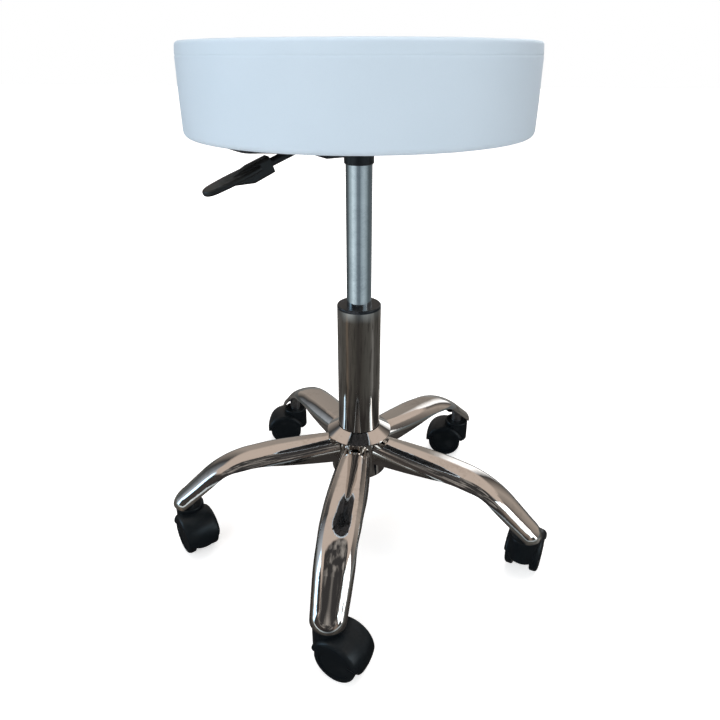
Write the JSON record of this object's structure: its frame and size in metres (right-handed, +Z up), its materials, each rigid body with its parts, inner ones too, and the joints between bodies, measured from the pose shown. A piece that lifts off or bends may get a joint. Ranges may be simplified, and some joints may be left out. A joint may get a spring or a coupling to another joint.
{
  "type": "rolling stylist stool",
  "caption": "Height-adjustable round stool with a vinyl cushion, gas lift with a side lever, chromed star base and hooded twin-wheel casters for rolling round a styling chair.",
  "frame": {"origin": "on the floor, under the axis of the column, between the five casters", "axes": "+Z up through the seat; the front leg points along -Y; +X is to the right of someone facing that leg"},
  "size_m": [0.4639, 0.4489, 0.5735],
  "materials": {
    "chrome_shell": "polished",
    "zinc_steel": "satin",
    "ground_steel": "polished",
    "gland_brass": "satin",
    "piston_alloy": "satin",
    "valve_plastic": "satin",
    "buffer_rubber": "matte",
    "collar_plastic": "satin",
    "black_steel": "satin",
    "lever_plastic": "satin",
    "birch_ply": "matte",
    "seat_foam": "matte",
    "pale_vinyl": "satin",
    "dust_fabric": "matte",
    "caster_plastic": "satin",
    "wheel_plastic": "satin",
    "stem_steel": "satin"
  },
  "bodies": {
    "base": {"hub_tube": "chrome_shell", "hub_collar": "chrome_shell", "leg_1": "chrome_shell", "leg_2": "chrome_shell", "leg_3": "chrome_shell", "leg_4": "chrome_shell", "leg_5": "chrome_shell", "caster_sleeves": "zinc_steel", "grip_rings": "zinc_steel", "column_tube": "chrome_shell", "column_bush": "collar_plastic", "bearing_lower_race": "zinc_steel"},
    "rod": {"piston_rod": "ground_steel", "rod_clip": "zinc_steel", "bearing_upper_race": "zinc_steel", "bearing_cage": "zinc_steel", "rubber_buffer": "buffer_rubber", "piston_head": "piston_alloy"},
    "seat": {"cylinder_tube": "ground_steel", "cylinder_gland": "gland_brass", "valve_body": "valve_plastic", "mount_plate": "black_steel", "lever_housing": "black_steel", "socket_cone": "black_steel", "plate_bolts": "black_steel", "plate_washers": "zinc_steel", "t_nuts": "zinc_steel", "seat_board": "birch_ply", "seat_foam": "seat_foam", "seat_cover": "pale_vinyl", "dust_cover": "dust_fabric", "lever_bushes": "collar_plastic"},
    "lever": {"lever_rod": "black_steel", "lever_paddle": "lever_plastic"},
    "release_pin": {"release_pin": "ground_steel"},
    "caster_1": {"caster_1_stem": "stem_steel", "caster_1_hood": "caster_plastic", "caster_1_axle": "stem_steel"},
    "caster_1_wheel_left": {"caster_1_wheel_left": "wheel_plastic"},
    "caster_1_wheel_right": {"caster_1_wheel_right": "wheel_plastic"},
    "caster_2": {"caster_2_stem": "stem_steel", "caster_2_hood": "caster_plastic", "caster_2_axle": "stem_steel"},
    "caster_2_wheel_left": {"caster_2_wheel_left": "wheel_plastic"},
    "caster_2_wheel_right": {"caster_2_wheel_right": "wheel_plastic"},
    "caster_3": {"caster_3_stem": "stem_steel", "caster_3_hood": "caster_plastic", "caster_3_axle": "stem_steel"},
    "caster_3_wheel_left": {"caster_3_wheel_left": "wheel_plastic"},
    "caster_3_wheel_right": {"caster_3_wheel_right": "wheel_plastic"},
    "caster_4": {"caster_4_stem": "stem_steel", "caster_4_hood": "caster_plastic", "caster_4_axle": "stem_steel"},
    "caster_4_wheel_left": {"caster_4_wheel_left": "wheel_plastic"},
    "caster_4_wheel_right": {"caster_4_wheel_right": "wheel_plastic"},
    "caster_5": {"caster_5_stem": "stem_steel", "caster_5_hood": "caster_plastic", "caster_5_axle": "stem_steel"},
    "caster_5_wheel_left": {"caster_5_wheel_left": "wheel_plastic"},
    "caster_5_wheel_right": {"caster_5_wheel_right": "wheel_plastic"}
  },
  "joints": [
    {"name": "seat_swivel", "type": "hinge", "parent": "base", "child": "rod", "pos_m": [0, 0, 0.1], "axis": [0, 0, 1], "continuous": true},
    {"name": "seat_lift", "type": "slide", "parent": "rod", "child": "seat", "axis": [0, 0, 1], "range_m": [-0.13, 0]},
    {"name": "lever_pull", "type": "hinge", "parent": "seat", "child": "lever", "pos_m": [-0.02364, -0.01847, 0.4845], "axis": [-0.6157, 0.788, 0], "range_deg": [0, 5.7], "stiffness_Nm_per_rad": 0.8, "springref_deg": -5.73},
    {"name": "release_press", "type": "slide", "parent": "seat", "child": "release_pin", "axis": [0, 0, -1], "range_m": [0, 0.0031]},
    {"name": "caster_1_swivel", "type": "hinge", "parent": "base", "child": "caster_1", "pos_m": [0, -0.2165, 0.06], "axis": [0, 0, 1], "continuous": true},
    {"name": "caster_1_roll_left", "type": "hinge", "parent": "caster_1", "child": "caster_1_wheel_left", "pos_m": [0.01465, -0.22242, 0.0235], "axis": [0.3746, 0.9272, 0], "continuous": true},
    {"name": "caster_1_roll_right", "type": "hinge", "parent": "caster_1", "child": "caster_1_wheel_right", "pos_m": [0.01465, -0.22242, 0.0235], "axis": [0.3746, 0.9272, 0], "continuous": true},
    {"name": "caster_2_swivel", "type": "hinge", "parent": "base", "child": "caster_2", "pos_m": [0.2059, -0.0669, 0.06], "axis": [0, 0, 1], "continuous": true},
    {"name": "caster_2_roll_left", "type": "hinge", "parent": "caster_2", "child": "caster_2_wheel_left", "pos_m": [0.21105, -0.05196, 0.0235], "axis": [-0.9455, 0.3256, 0], "continuous": true},
    {"name": "caster_2_roll_right", "type": "hinge", "parent": "caster_2", "child": "caster_2_wheel_right", "pos_m": [0.21105, -0.05196, 0.0235], "axis": [-0.9455, 0.3256, 0], "continuous": true},
    {"name": "caster_3_swivel", "type": "hinge", "parent": "base", "child": "caster_3", "pos_m": [0.12726, 0.17515, 0.06], "axis": [0, 0, 1], "continuous": true},
    {"name": "caster_3_roll_left", "type": "hinge", "parent": "caster_3", "child": "caster_3_wheel_left", "pos_m": [0.11149, 0.17625, 0.0235], "axis": [-0.0698, -0.9976, 0], "continuous": true},
    {"name": "caster_3_roll_right", "type": "hinge", "parent": "caster_3", "child": "caster_3_wheel_right", "pos_m": [0.11149, 0.17625, 0.0235], "axis": [-0.0698, -0.9976, 0], "continuous": true},
    {"name": "caster_4_swivel", "type": "hinge", "parent": "base", "child": "caster_4", "pos_m": [-0.12726, 0.17515, 0.06], "axis": [0, 0, 1], "continuous": true},
    {"name": "caster_4_roll_left", "type": "hinge", "parent": "caster_4", "child": "caster_4_wheel_left", "pos_m": [-0.14271, 0.17187, 0.0235], "axis": [0.2079, -0.9781, 0], "continuous": true},
    {"name": "caster_4_roll_right", "type": "hinge", "parent": "caster_4", "child": "caster_4_wheel_right", "pos_m": [-0.14271, 0.17187, 0.0235], "axis": [0.2079, -0.9781, 0], "continuous": true},
    {"name": "caster_5_swivel", "type": "hinge", "parent": "base", "child": "caster_5", "pos_m": [-0.2059, -0.0669, 0.06], "axis": [0, 0, 1], "continuous": true},
    {"name": "caster_5_roll_left", "type": "hinge", "parent": "caster_5", "child": "caster_5_wheel_left", "pos_m": [-0.19493, -0.07827, 0.0235], "axis": [0.7193, 0.6947, 0], "continuous": true},
    {"name": "caster_5_roll_right", "type": "hinge", "parent": "caster_5", "child": "caster_5_wheel_right", "pos_m": [-0.19493, -0.07827, 0.0235], "axis": [0.7193, 0.6947, 0], "continuous": true}
  ],
  "couplings": [
    {"joint": "release_press", "follows": "lever_pull", "m_per_rad": 0.03}
  ]
}
